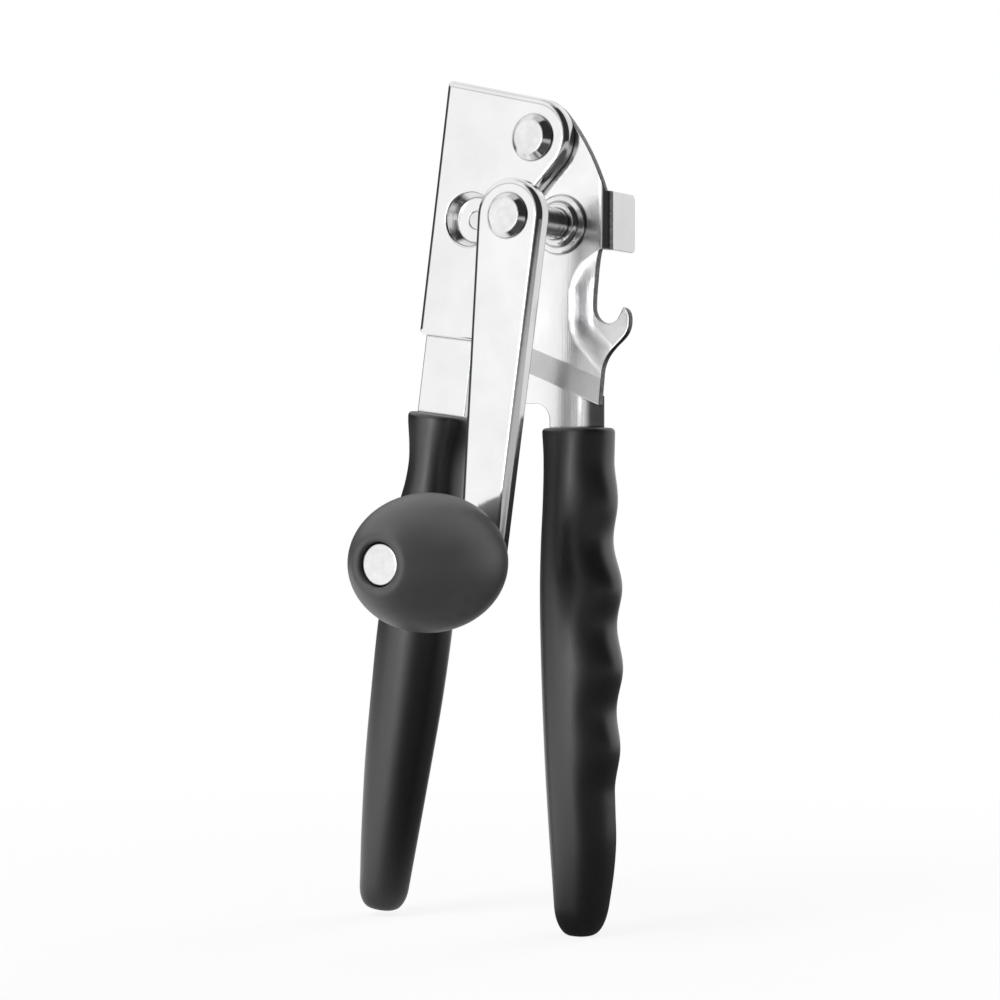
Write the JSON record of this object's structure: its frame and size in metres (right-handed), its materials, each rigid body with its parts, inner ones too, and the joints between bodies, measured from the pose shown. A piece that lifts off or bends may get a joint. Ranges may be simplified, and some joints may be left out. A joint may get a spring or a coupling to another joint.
{
  "type": "manual can opener",
  "caption": "Long-crank manual can opener: two riveted plate levers with soft grips, a geared cutter and feed wheel, a cap lifter and a crank arm with a turning egg knob.",
  "frame": {"origin": "bottom centre of the overall box, at the butt of the rear grip", "axes": "+Z from the grips up to the head, as it stands in a utensil pot; -Y is the crank side; +X is the side of the stop tab and cap lifter"},
  "size_m": [0.0848, 0.088, 0.2308],
  "materials": {
    "plate_chrome": "bright chrome plating on pressed sheet steel",
    "rivet_steel": "turned and headed steel, plated",
    "gear_steel": "hardened steel, ground edge and cut teeth",
    "grip_rubber": "soft satin black",
    "knob_plastic": "satin black"
  },
  "bodies": {
    "rear_lever": {"rear_plate": "plate_chrome", "rear_grip": "grip_rubber", "pivot_rivet": "rivet_steel", "pivot_spacer": "rivet_steel", "pivot_washer": "rivet_steel", "shaft_bush": "rivet_steel"},
    "front_lever": {"front_plate": "plate_chrome", "front_grip": "grip_rubber", "cutter_stud": "rivet_steel", "cutter_washer": "rivet_steel"},
    "crank": {"crank_shaft": "rivet_steel", "crank_arm": "plate_chrome", "shaft_sleeve": "rivet_steel", "arm_washer": "rivet_steel", "drive_washer": "rivet_steel", "drive_gear": "gear_steel", "feed_wheel": "gear_steel", "knob_spindle": "rivet_steel", "knob_washer": "rivet_steel"},
    "knob": {"crank_knob": "knob_plastic"},
    "cutter": {"cutter_gear": "gear_steel", "cutter_spacer": "rivet_steel", "cutter_wheel": "gear_steel"}
  },
  "joints": [
    {"name": "handle_pivot", "type": "hinge", "parent": "rear_lever", "child": "front_lever", "pos_m": [0.01572, 0.02868, 0.2132], "axis": [0, 1, 0], "range_deg": [-8, 32]},
    {"name": "crank_turn", "type": "hinge", "parent": "rear_lever", "child": "crank", "pos_m": [0.02202, 0.02868, 0.1898], "axis": [0, 1, 0], "continuous": true},
    {"name": "knob_spin", "type": "hinge", "parent": "crank", "child": "knob", "pos_m": [0.01275, -0.01932, 0.10008], "axis": [0, 1, 0], "continuous": true},
    {"name": "cutter_spin", "type": "hinge", "parent": "front_lever", "child": "cutter", "pos_m": [-0.00446, 0.03368, 0.19251], "axis": [0, 1, 0], "continuous": true}
  ],
  "couplings": [
    {"joint": "cutter_spin", "follows": "crank_turn", "ratio": -0.8}
  ]
}
